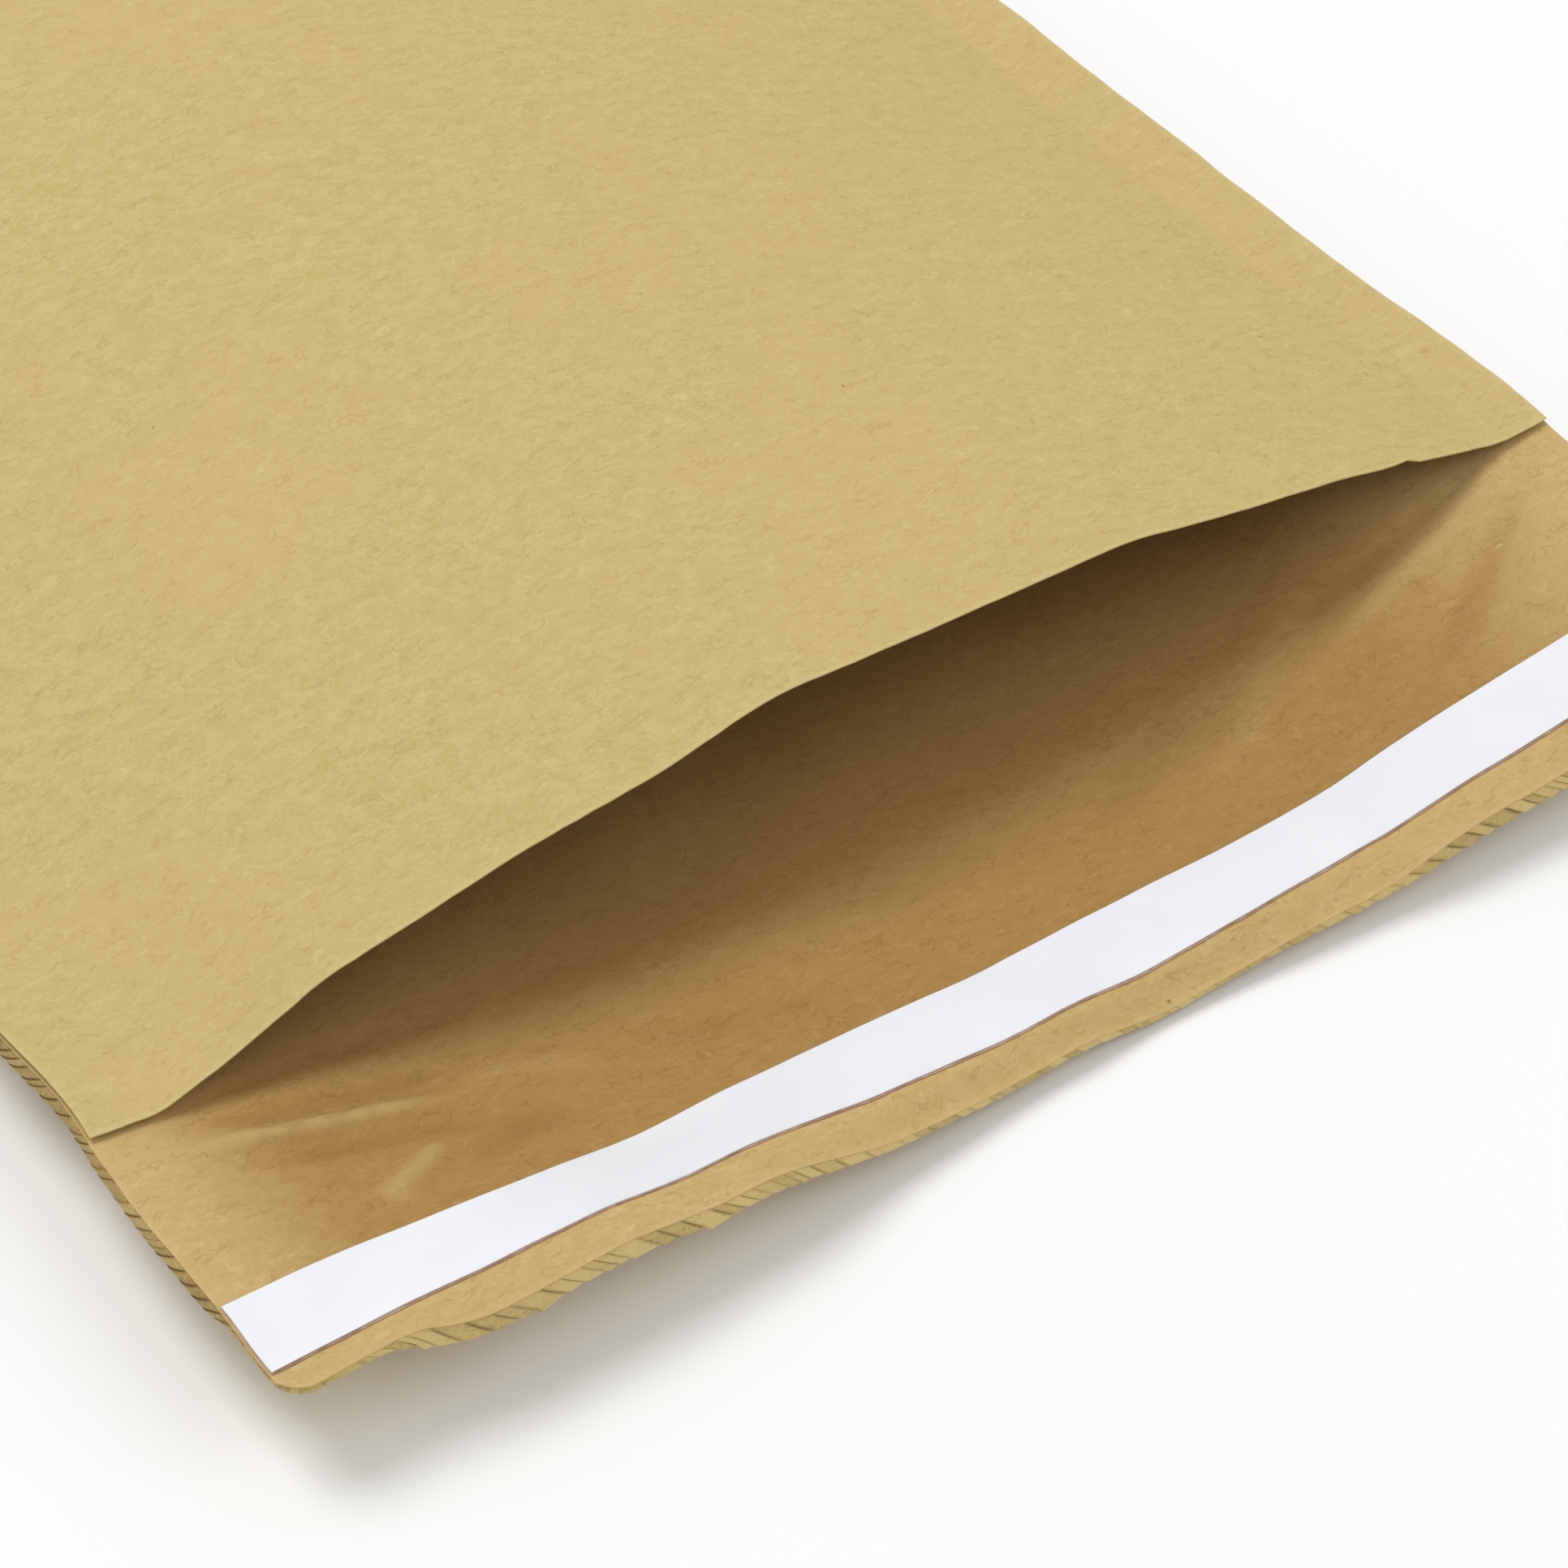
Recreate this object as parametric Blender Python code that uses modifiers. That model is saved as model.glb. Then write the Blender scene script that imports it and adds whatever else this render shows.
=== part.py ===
"""Padded paper envelope, lying open on its back.

One padded web (outer kraft sheet, slit paper padding, inner kraft liner) is folded once
at the closed end.  Its two halves are glued together along both sides, and the back half
runs on past the mouth as a flap with a self-seal strip.

Metres, +Z up.  X is across the width, +Y runs to the closed end, the flap points to -Y,
and the mouth edge of the front panel is the line Y = 0 until the last step, which brings
the origin to the bottom centre of the whole part.
"""
import bmesh
import bpy
from math import cos, pi, sin

# ---- driving dimensions -------------------------------------------------------------
WIDTH = 0.2200            # outer width, edge to edge
DEPTH = 0.3000            # mouth edge to closed end
FLAP = 0.0490             # flap beyond the mouth edge
PLY = 0.00025             # one kraft ply
PAD = 0.0031              # slit paper padding, fully open
PAD_PRESSED = 0.0004      # the same padding pressed flat in a seam
GAP = 0.0003              # clearance between neighbouring plies
SEAM = 0.0080             # glued width along each side
GLUE = 0.0003             # thickness of the seam glue
SIDE_RISE = 0.0090        # height of the back panel's side edges above its flat middle
FLAT_HALF = 0.0350        # half width of the part of the back panel that lies flat
BULGE = 0.0157            # rise of the front panel above its seams, at the mouth
CREST_X = -0.0100         # where across the width the front panel is highest
BULGE_END = 0.0018        # rise that is left at the closed end
BULGE_KEPT = 0.1200       # depth to which the bulge and the side rise stay full
LIP_BARE = 0.0080         # front panel's mouth edge that has no padding in it
LIP_TAPER = 0.0220        # length over which its padding reaches full thickness
STRIP_NEAR = -0.0313      # self-seal strip, edge towards the mouth
STRIP_FAR = -0.0423       # self-seal strip, edge towards the flap end
ADHESIVE_SHOWS = 0.0004   # adhesive that shows beyond the liner's outer edge
TAPE = 0.0002             # thickness of the adhesive and of the release liner
CORNER = 0.0030           # radius of the flap's corners
FLAP_CURL = 0.0014        # most that the waves lift the flap's end
FLAP_WAVE = 0.0950        # length of those waves

HALF = WIDTH / 2
SEAM_IN = HALF - SEAM
CLEAR = GAP + GLUE + GAP                     # between the two liners in a seam
BARE_STACK = 2 * PLY + 2 * GAP               # a panel's thickness without its padding
FOLD_Y = DEPTH - CLEAR / 2 - BARE_STACK - PAD   # where the closed end's fold begins
FOLD_STEPS = 6

# Stations across the width (as shares of the half width) and along the length.
ACROSS = (0.0, 0.16, 0.32, 0.46, 0.60, 0.72, 0.83, SEAM_IN / HALF, 0.962, 0.985, 1.0)
POCKET_ROWS = (0.0, 0.004, LIP_BARE, 0.018, LIP_BARE + LIP_TAPER, 0.070, 0.115, 0.150,
               0.180, 0.210, 0.240, 0.270, FOLD_Y)
FLAP_ROWS = (-0.016, -0.0305, -0.0430, -0.0463, -FLAP)


def smooth(value, low, high):
    """0 below low, 1 above high, and an even S curve between."""
    share = min(max((value - low) / (high - low), 0.0), 1.0)
    return share * share * (3.0 - 2.0 * share)


# ---- the envelope's shape -----------------------------------------------------------
def fading(y):
    """Share of the bulge and side rise that is left at depth y."""
    return 1.0 - smooth(y, BULGE_KEPT, DEPTH - 0.010)


def back_bottom(x, y):
    """Underside of the back panel: flat in the middle, rising to both side edges."""
    share = max(abs(x) - FLAT_HALF, 0.0) / (HALF - FLAT_HALF)
    rise = SIDE_RISE * (0.12 + 0.88 * fading(y)) * share ** 1.35
    reach = max(-y, 0.0) / FLAP
    wave = 0.5 + 0.5 * sin(2.0 * pi * (x + 0.020) / FLAP_WAVE)
    return rise + FLAP_CURL * wave * reach ** 2


def back_padding(x, y):
    """Thickness of the back panel's padding, pressed thinner along the flap's end."""
    at_end = smooth(-y, FLAP - 0.0060, FLAP)
    middle = 1.0 - smooth(abs(x - 0.010), 0.020, 0.050)
    corner = smooth(abs(x), 0.095, 0.108)
    return PAD * (1.0 - 0.60 * at_end * max(middle, corner))


def back_face(x, y):
    """The pocket's face of the back panel, which is the top of its liner."""
    return back_bottom(x, y) + BARE_STACK + back_padding(x, y)


def front_top(x, y):
    """Outside of the front panel: glued down at both seams and arched between them."""
    seam_top = back_face(max(abs(x), SEAM_IN), y) + CLEAR + BARE_STACK + PAD_PRESSED
    span = SEAM_IN - CREST_X if x > CREST_X else SEAM_IN + CREST_X
    share = min(abs(x - CREST_X) / span, 1.0)
    bulge = BULGE_END + (BULGE - BULGE_END) * fading(y)
    return seam_top + bulge * (1.0 - share ** 1.8)


def front_padding(x, y):
    """Thickness of the front panel's padding, pressed wherever the panels meet."""
    room = front_top(x, y) - back_face(x, y) - CLEAR - BARE_STACK
    full = min(max(room, PAD_PRESSED), PAD)
    return PAD_PRESSED + (full - PAD_PRESSED) * smooth(y, LIP_BARE, LIP_BARE + LIP_TAPER)


def front_face(x, y):
    """The pocket's face of the front panel, which is the underside of its liner."""
    return front_top(x, y) - BARE_STACK - front_padding(x, y)


# ---- plies of the folded web --------------------------------------------------------
def liner_offset(padding):
    """From the pocket's face out to the middle of the inner liner."""
    return PLY / 2


def padding_offset(padding):
    """From the pocket's face out to the middle of the padding."""
    return PLY + GAP + padding / 2


def outer_offset(padding):
    """From the pocket's face out to the middle of the outer sheet."""
    return PLY + GAP + padding + GAP + PLY / 2


def web_point(offset, x, part, place):
    """Point of a ply's middle surface, and the padding's thickness there."""
    if part == "front":
        padding = front_padding(x, place)
        return (x, place, front_face(x, place) + offset(padding)), padding
    if part == "back":
        padding = back_padding(x, place)
        return (x, place, back_face(x, place) - offset(padding)), padding
    # round the fold at the closed end, from the front panel down to the back panel
    upper = front_face(x, FOLD_Y)
    lower = back_face(x, FOLD_Y)
    share = place / FOLD_STEPS
    padding = front_padding(x, FOLD_Y) * (1.0 - share) + back_padding(x, FOLD_Y) * share
    radius = (upper - lower) / 2 + offset(padding)
    angle = pi / 2 - pi * share
    height = (upper + lower) / 2 + radius * sin(angle)
    return (x, FOLD_Y + radius * cos(angle), height), padding


def flap_corner(x, half, y):
    """Draws the flap's last rows in round its corners."""
    over = max(abs(x) - (half - CORNER), 0.0)
    inset = CORNER - (CORNER ** 2 - min(over, CORNER) ** 2) ** 0.5
    return y + inset * smooth(-y, FLAP - 0.0050, FLAP)


def web_rows(front_start, back_end):
    """Rows of a ply from its edge at the mouth, round the fold, to the flap's end."""
    rows = [("front", y) for y in POCKET_ROWS if y >= front_start]
    rows += [("fold", step) for step in range(1, FOLD_STEPS)]
    rows += [("back", y) for y in reversed(POCKET_ROWS)]
    rows += [("back", max(y, back_end)) for y in FLAP_ROWS]
    return rows


def columns(half):
    """Stations across a piece of the given half width, left edge first."""
    right = [share * half for share in ACROSS]
    return [-x for x in reversed(right[1:])] + right


# ---- building -----------------------------------------------------------------------
def principled(name, color, roughness):
    material = bpy.data.materials.new(name)
    material.use_nodes = True
    shader = material.node_tree.nodes["Principled BSDF"]
    shader.inputs["Base Color"].default_value = (*color, 1.0)
    shader.inputs["Roughness"].default_value = roughness
    shader.inputs["Metallic"].default_value = 0.0
    return material


def sheet(name, points, thickness, material, shares=None):
    """Thickens a grid of points into a closed sheet.

    points is a list of rows, each a list of points.  shares, if given, scales the
    thickness at each point.  Every cell is split along the same diagonal, so that plies
    made on the same stations stay parallel.
    """
    across = len(points[0])
    mesh = bpy.data.meshes.new(name)
    shell = bmesh.new()
    group = shell.verts.layers.deform.verify()
    bmesh.ops.create_grid(shell, x_segments=across - 1, y_segments=len(points) - 1, size=0.5)
    order = sorted(shell.verts, key=lambda vert: (round(vert.co.y, 5), round(vert.co.x, 5)))
    flat = [point for row in points for point in row]
    for index, vert in enumerate(order):
        vert.co = flat[index]
        vert[group][0] = 1.0 if shares is None else shares[index]
    bmesh.ops.triangulate(shell, faces=shell.faces, quad_method="FIXED")
    shell.to_mesh(mesh)
    shell.free()
    piece = bpy.data.objects.new(name, mesh)
    bpy.data.collections["padded_envelope"].objects.link(piece)
    piece.vertex_groups.new(name="thickness")
    mesh.materials.append(material)
    solidify = piece.modifiers.new("Solidify", "SOLIDIFY")
    solidify.thickness = thickness
    solidify.offset = 0.0
    solidify.use_even_offset = True
    solidify.vertex_group = "thickness"
    return piece


def web_ply(name, offset, half, front_start, back_end, thickness, material, padded=False):
    """One ply of the folded web; a padded one is as thick as the padding is."""
    points = []
    shares = []
    for part, place in web_rows(front_start, back_end):
        line = []
        for x in columns(half):
            at = flap_corner(x, half, place) if part == "back" else place
            point, padding = web_point(offset, x, part, at)
            line.append(point)
            shares.append(padding / PAD)
        points.append(line)
    return sheet(name, points, thickness, material, shares if padded else None)


def band(name, xs, ys, lift, thickness, material):
    """A thin strip lying at a given lift above the back panel's pocket face."""
    points = [[(x, y, back_face(x, y) + lift) for x in xs] for y in ys]
    return sheet(name, points, thickness, material)


def build_web():
    kraft = principled("outer_kraft", (0.584, 0.468, 0.205), 0.82)
    pulp = principled("padding_pulp", (0.400, 0.290, 0.110), 0.92)
    lining = principled("inner_kraft", (0.450, 0.290, 0.110), 0.80)
    web_ply("outer_sheet", outer_offset, HALF, 0.0, -FLAP, PLY, kraft)
    web_ply("padding_sheet", padding_offset, HALF - 0.0004, LIP_BARE, -FLAP + 0.0004,
            PAD, pulp, padded=True)
    web_ply("inner_liner", liner_offset, HALF - 0.0006, 0.0, -FLAP + 0.0006, PLY, lining)


def build_seams():
    """A run of glue between the two liners along each side of the pocket."""
    glue = principled("seam_glue", (0.690, 0.600, 0.420), 0.45)
    xs = [share * (HALF - 0.0006) for share in ACROSS[-4:-1]]
    ys = [y for y in POCKET_ROWS if 0.0 < y < FOLD_Y]
    lift = GAP + GLUE / 2
    band("seam_glue_right", xs, ys, lift, GLUE, glue)
    band("seam_glue_left", [-x for x in reversed(xs)], ys, lift, GLUE, glue)


def build_closure():
    """The strip of adhesive across the flap and the release liner that covers it."""
    adhesive = principled("closure_adhesive", (0.300, 0.150, 0.160), 0.35)
    liner = principled("release_paper", (0.850, 0.860, 0.880), 0.40)
    xs = columns(HALF - 0.0008)
    lift = GAP + TAPE / 2
    band("closure_adhesive", xs, (STRIP_FAR - ADHESIVE_SHOWS, STRIP_NEAR), lift, TAPE, adhesive)
    band("release_liner", xs, (STRIP_FAR, STRIP_NEAR), lift + TAPE + GAP, TAPE, liner)


def centre_on_origin(collection):
    """Moves the envelope along Y, so that the origin is at its bottom centre."""
    shift = (FLAP - DEPTH) / 2
    for piece in collection.objects:
        piece.location.y = shift


def main():
    for old in list(bpy.data.objects):
        bpy.data.objects.remove(old, do_unlink=True)
    collection = bpy.data.collections.new("padded_envelope")
    bpy.context.scene.collection.children.link(collection)
    build_web()
    build_seams()
    build_closure()
    centre_on_origin(collection)


main()
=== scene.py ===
"""Looks of the padded paper envelope: plies, slit-paper padding, self-seal strip."""
import random
import bpy
import numpy as np
from math import cos, pi, radians, sin
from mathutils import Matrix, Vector, noise


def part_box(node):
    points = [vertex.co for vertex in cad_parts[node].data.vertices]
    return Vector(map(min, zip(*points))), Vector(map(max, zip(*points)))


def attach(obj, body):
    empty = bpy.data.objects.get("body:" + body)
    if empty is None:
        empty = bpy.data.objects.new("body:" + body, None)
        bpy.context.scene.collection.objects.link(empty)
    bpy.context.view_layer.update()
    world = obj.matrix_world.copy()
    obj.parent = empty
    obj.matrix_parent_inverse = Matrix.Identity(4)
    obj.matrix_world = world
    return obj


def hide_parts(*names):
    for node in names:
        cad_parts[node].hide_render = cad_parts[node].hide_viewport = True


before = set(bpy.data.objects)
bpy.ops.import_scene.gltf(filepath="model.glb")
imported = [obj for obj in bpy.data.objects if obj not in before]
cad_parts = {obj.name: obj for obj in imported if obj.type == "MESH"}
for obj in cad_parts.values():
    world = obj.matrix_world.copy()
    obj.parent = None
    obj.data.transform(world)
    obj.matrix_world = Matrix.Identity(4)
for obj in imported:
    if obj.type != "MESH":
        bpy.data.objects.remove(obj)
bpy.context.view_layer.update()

# ---- sizes from the frame (metres) --------------------------------------------------
SHEET_LOW, SHEET_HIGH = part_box("outer_sheet")
STRIP_LOW, STRIP_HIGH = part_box("release_liner")
GLUE_LOW, GLUE_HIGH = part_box("seam_glue_left")
HALF = SHEET_HIGH.x                        # half width
MOUTH = GLUE_LOW.y - 0.004                 # the front panel's edge; depths count from it
DEPTH = SHEET_HIGH.y - MOUTH
FLAP = MOUTH - SHEET_LOW.y
STRIP_NEAR = STRIP_HIGH.y - MOUTH
STRIP_FAR = STRIP_LOW.y - MOUTH
SEAM_IN = -GLUE_HIGH.x
SEAM_OUT = -GLUE_LOW.x

# ---- the paper's own sizes ----------------------------------------------------------
PLY = 0.00020
GAP = 0.00005
PAD = 0.0036
PRESSED = 0.00015
GLUE = 0.00010
TAPE = 0.00016
STACK = 2 * PLY + 2 * GAP                  # a panel without its padding
CLEAR = 2 * GAP + GLUE                     # between the liners in a seam
SIDE_RISE = 0.0094
FLAT_HALF = 0.035
BULGE_KEPT = 0.120
FOLD_DEPTH = DEPTH - CLEAR / 2 - STACK - PAD
FOLD_STEPS = 12
CORNER = 0.0040
FLAP_TRIM = 0.0066                         # the part of the flap past its adhesive
LIP_BARE = 0.008
LIP_TAPER = 0.030
CREST_X = -0.004                           # where across the width the pocket is highest
DEEP_RISE = 0.0168                         # rise of the front panel behind the mouth
END_RISE = 0.0022                          # rise that is left at the closed end
CORNER_PINCH = 0.70                        # share of the padding that a corner roll takes
PADDING_BODY = 0.70                        # the padding's body, as a share of its full wall
EDGE_DEPTH = 0.0014                        # how far the raw edge reaches into the padding
MM = 0.001

# Heights at the bends of each line across the width, in millimetres, left edge first.
MOUTH_ARCH = ((-110, 0), (-100, 0), (-90, 1.5), (-77, 7), (-50, 12), (-30, 14), (-14, 17.5),
              (4, 16.5), (40, 15), (55, 11.5), (75, 8), (90, 4), (103, 0.5), (110, 0))
FLAP_LINE = ((-110, 10), (-95, 9), (-73, 6), (-55, 3), (-43, 3), (-18, 1.5), (-8, 0.5),
             (30, 0.3), (48, 1), (61, 3.5), (110, 10))
FLAP_CURL = ((-110, 0), (-83, 1.5), (-66, 3.5), (-47, 3.5), (-31, 1.2), (-14, 0.6), (-2, 1.2),
             (9, 0), (28, 1), (52, 1.3), (70, 0.3), (110, 0.3))
# Soft creases in the back panel's inner face: ends, height and half width, in millimetres.
CREASES = (((-101, -8), (-70, -15), 1.15, 1.7), ((-98, -5), (-64, -11), -0.80, 2.0),
           ((-96, -13), (-66, -20), -0.85, 2.2), ((-85, -26), (-74, -21), 1.00, 2.0),
           ((-104, -2), (-66, 0), -0.50, 2.6), ((-74, -25), (-58, -22), -0.80, 2.4),
           ((-68, -12), (-50, -18), 0.70, 2.6), ((104, -1), (62, -14), 0.85, 2.6),
           ((103, -5), (72, -25), -0.85, 3.0), ((98, -1), (60, -7), -0.70, 2.6),
           ((100, -10), (86, -28), 0.60, 2.6), ((-98, -18), (-82, -28), 0.45, 2.4),
           ((60, -7), (38, -23), 0.60, 4.0), ((44, -8), (20, -20), -0.50, 4.5),
           ((-48, -16), (-20, -26), -0.50, 4.0), ((-30, -10), (4, -22), 0.45, 5.0))


def smooth(value, low, high):
    share = np.clip((value - low) / (high - low), 0.0, 1.0)
    return share * share * (3.0 - 2.0 * share)


def stations(x, table, soften=0.0028):
    """Height at x from a table of stations, with its corners softened."""
    places = np.array([place for place, _ in table]) * MM
    heights = np.array([height for _, height in table]) * MM
    total = sum(weight * np.interp(x + shift * soften, places, heights)
                for shift, weight in ((-1.0, 0.25), (0.0, 0.5), (1.0, 0.25)))
    return total


def ripple(x, y, size, seed):
    """Smooth noise from -1 to 1, of the given feature size."""
    flat_x, flat_y = np.broadcast_arrays(x, y)
    values = [noise.noise(Vector((a / size, b / size, seed)))
              for a, b in zip(flat_x.ravel(), flat_y.ravel())]
    return np.array(values).reshape(flat_x.shape)


def creases(x, y):
    """Ridges and folds pressed into the back panel's inner face near the mouth."""
    total = np.zeros(np.broadcast(x, y).shape)
    for (x0, y0), (x1, y1), height, width in CREASES:
        along = np.array([x1 - x0, y1 - y0]) * MM
        length = np.hypot(*along)
        along = along / length
        run = (x - x0 * MM) * along[0] + (y - y0 * MM) * along[1]
        off = -(x - x0 * MM) * along[1] + (y - y0 * MM) * along[0]
        inside = smooth(run, -0.25 * length, 0.3 * length)
        inside = inside * (1.0 - smooth(run, 0.7 * length, 1.25 * length))
        total = total + height * MM * inside * np.exp(-(off / (width * MM)) ** 2)
    return total


# ---- the envelope's shape; y is the depth from the mouth, negative on the flap ------
def fading(y):
    return 1.0 - smooth(y, BULGE_KEPT, DEPTH - 0.010)


def corner_roll(x, y):
    """1 where the flap's left corner is pressed thin and rolled up."""
    end = smooth(-y, FLAP - 0.016, FLAP - 0.002) * (1.0 - smooth(x, -0.098, -0.088))
    side = smooth(-x, 0.098, 0.108) * smooth(-y, 0.027, 0.034)
    right = smooth(x, 0.100, 0.109) * smooth(-y, FLAP - 0.010, FLAP - 0.002)
    return np.maximum(np.maximum(end * smooth(-x, 0.080, 0.100), side), right)


def back_bottom(x, y):
    """Underside of the back panel."""
    share = np.maximum(np.abs(x) - FLAT_HALF, 0.0) / (HALF - FLAT_HALF)
    pocket = SIDE_RISE * (0.12 + 0.88 * fading(y)) * share ** 1.35
    flap = stations(x, FLAP_LINE)
    reach = np.clip((-y + STRIP_NEAR) / (STRIP_NEAR - STRIP_FAR), -1.2, 1.45)
    lift = stations(x, FLAP_CURL) * np.where(reach > 0, reach, 0.12 * reach)
    on_flap = smooth(-y, -0.004, -STRIP_NEAR)
    height = pocket * (1.0 - on_flap) + (flap + lift) * on_flap
    return np.maximum(height, 0.0) + CORNER_PINCH * PAD * corner_roll(x, y)


def back_padding(x, y):
    """Thickness of the back panel's padding, with its thin places along the flap's end."""
    near_end = smooth(-y, FLAP - 0.0065, FLAP)
    middle = smooth(x, -0.052, -0.028) * (1.0 - smooth(x, 0.040, 0.056))
    thin = near_end * (0.20 + 0.54 * middle)
    return PAD * (1.0 - np.maximum(thin, 0.74 * corner_roll(x, y)))


def back_relief(x, y):
    """Soft dents and creases of the inner liner alone, about the mouth and on the flap."""
    soft = 0.45 * MM * ripple(x, y, 0.019, 3.1) + 0.14 * MM * ripple(x, y, 0.007, 8.4)
    crumpled = smooth(-x, 0.040, 0.070) * smooth(y, STRIP_NEAR, STRIP_NEAR + 0.008)
    soft = soft + 0.16 * MM * crumpled * ripple(x, y, 0.0045, 2.2)
    open_part = (1.0 - smooth(y, 0.030, 0.050)) * (1.0 - smooth(np.abs(x), 0.098, 0.108))
    return (creases(x, y) + soft) * open_part


def back_face(x, y):
    """Top of the back panel's liner, which the pocket and the flap show."""
    return back_bottom(x, y) + STACK + back_padding(x, y) + back_relief(x, y)


def front_top(x, y):
    """Outside of the front panel: glued at both seams and arched between them."""
    depth = np.maximum(y, 0.0)
    clamped = np.sign(x) * np.maximum(np.abs(x), SEAM_IN)
    left = back_face(np.full_like(x, -SEAM_IN), depth)
    right = back_face(np.full_like(x, SEAM_IN), depth)
    share = (np.clip(x, -SEAM_IN, SEAM_IN) + SEAM_IN) / (2 * SEAM_IN)
    between = left * (1.0 - share) + right * share
    seam = np.where(np.abs(x) > SEAM_IN, back_face(clamped, depth), between)
    seam = seam + CLEAR + STACK + PRESSED
    span = np.where(x > CREST_X, SEAM_IN - CREST_X, SEAM_IN + CREST_X)
    deep = DEEP_RISE * (1.0 - np.minimum(np.abs(x - CREST_X) / span, 1.0) ** 1.8)
    blend = smooth(depth, 0.004, 0.060)
    arch = stations(x, MOUTH_ARCH) * (1.0 - blend) + deep * blend
    arch = arch * fading(depth) + END_RISE * (1.0 - fading(depth)) * (deep / DEEP_RISE)
    soft = 0.30 * MM * ripple(x, depth, 0.060, 1.7) + 0.07 * MM * ripple(x, depth, 0.018, 5.2)
    pucker = 0.7 * MM * np.exp(-((x - 0.0855) / 0.0016) ** 2 - (depth / 0.0026) ** 2)
    free = 1.0 - smooth(np.abs(x), SEAM_IN - 0.012, SEAM_IN)
    return seam + arch + soft * free + pucker


def front_padding(x, y):
    room = front_top(x, y) - back_face(x, y) - CLEAR - STACK
    full = np.clip(room, PRESSED, PAD)
    return PRESSED + (full - PRESSED) * smooth(y, LIP_BARE, LIP_BARE + LIP_TAPER)


def edge_shift(side, y):
    """How far a side edge strays outwards from a straight line; side is -1 or 1."""
    waves = 0.38 * MM * ripple(np.full_like(y, side * 3.0), y, 0.016, 2.3)
    waves = waves + 0.22 * MM * ripple(np.full_like(y, side * 5.0), y, 0.0062, 6.1)
    if side > 0:
        swell = 1.6 * MM * np.exp(-((y - 0.012) / 0.018) ** 2)
    else:
        swell = -1.2 * MM * np.exp(-((y - 0.006) / 0.013) ** 2)
    return waves + swell - 0.4 * MM


def out_to_edge(x, y, inset=0.0):
    """Moves a point outwards with the wavy side edge it is nearest to."""
    reach = smooth(np.abs(x), 0.070, HALF)
    shift = np.where(x > 0, edge_shift(1, y), edge_shift(-1, y)) - inset
    return x + np.sign(x) * shift * reach


def corner_rounding(x):
    over = np.clip(np.abs(x) - (HALF - CORNER), 0.0, CORNER)
    return CORNER - np.sqrt(np.maximum(CORNER ** 2 - over ** 2, 0.0))


def flap_corner(x, y, inset=0.0):
    """Rounds the flap's corners and cuts its end a little short in the middle and left."""
    at_end = np.clip((-y - FLAP + FLAP_TRIM) / FLAP_TRIM, 0.0, 1.0)
    hollow = 1.7 * MM * np.exp(-((x - 0.005) / 0.032) ** 2)
    left = 2.2 * MM * (1.0 - smooth(x, -0.097, -0.084))
    cut = 0.8 * MM + hollow + left + 0.2 * MM * ripple(x, np.zeros_like(x), 0.02, 9.0)
    inwards = np.minimum(corner_rounding(x) + cut + inset, 0.86 * FLAP_TRIM)
    return y + inwards * at_end


# ---- grids --------------------------------------------------------------------------
def spread(low, high, step, fine=(), fine_step=0.0006):
    """Stations from low to high, closer together around the places in fine."""
    marks = list(np.linspace(low, high, int(round((high - low) / step)) + 1))
    for place, reach in fine:
        count = int(round(2 * reach / fine_step)) + 1
        marks += list(np.linspace(place - reach, place + reach, count))
    marks = np.unique(np.clip(np.array(marks), low, high).round(6))
    keep = np.concatenate(([True], np.diff(marks) > 0.45 * min(step, fine_step)))
    keep[-1] = True
    return marks[keep]


def select_only(piece):
    bpy.ops.object.select_all(action="DESELECT")
    piece.select_set(True)
    bpy.context.view_layer.objects.active = piece


def grid_piece(name, points):
    """A primitive grid whose points are then moved to the given rows of points."""
    rows, across = points.shape[:2]
    bpy.ops.object.select_all(action="DESELECT")
    bpy.ops.mesh.primitive_grid_add(x_subdivisions=across - 1, y_subdivisions=rows - 1, size=1)
    piece = bpy.context.object
    piece.name = name
    piece.data.name = name
    start = np.empty(rows * across * 3)
    piece.data.vertices.foreach_get("co", start)
    start = start.reshape(-1, 3)
    order = np.lexsort((start[:, 0].round(6), start[:, 1].round(6)))
    place = np.empty_like(start)
    place[order] = points.reshape(-1, 3)
    piece.data.vertices.foreach_set("co", place.ravel())
    piece.data.update()
    return piece, order


def mark(piece, name, values, order):
    """Keeps one number a point as an attribute that the material reads."""
    attribute = piece.data.attributes.new(name, "FLOAT", "POINT")
    placed = np.empty(len(order), np.float32)
    placed[order] = np.asarray(values, np.float32).ravel()
    attribute.data.foreach_set("value", placed)


def thicken(piece, thickness, shares=None, order=None):
    """Gives an open surface its wall with an applied Solidify."""
    solidify = piece.modifiers.new("wall", "SOLIDIFY")
    solidify.thickness = thickness
    solidify.offset = 0.0
    solidify.use_even_offset = shares is not None
    if shares is not None:
        group = piece.vertex_groups.new(name="wall")
        for index, share in zip(order, np.asarray(shares).ravel()):
            group.add([int(index)], float(share), "REPLACE")
        solidify.vertex_group = "wall"
    select_only(piece)
    bpy.ops.object.modifier_apply(modifier="wall")


def face_outwards(piece):
    select_only(piece)
    bpy.ops.object.mode_set(mode="EDIT")
    bpy.ops.mesh.select_all(action="SELECT")
    bpy.ops.mesh.normals_make_consistent(inside=False)
    bpy.ops.object.mode_set(mode="OBJECT")


def finish_piece(piece, material, angle=35):
    piece.data.materials.clear()
    piece.data.materials.append(material)
    select_only(piece)
    bpy.ops.object.shade_smooth_by_angle(angle=radians(angle))
    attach(piece, "root")


# ---- plies of the folded web --------------------------------------------------------
def liner_lift(padding):
    """The liner lies on the pocket's face, whatever the padding, as an array of that size."""
    return PLY / 2 + 0 * padding


def padding_lift(padding):
    return PLY + GAP + padding / 2


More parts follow.
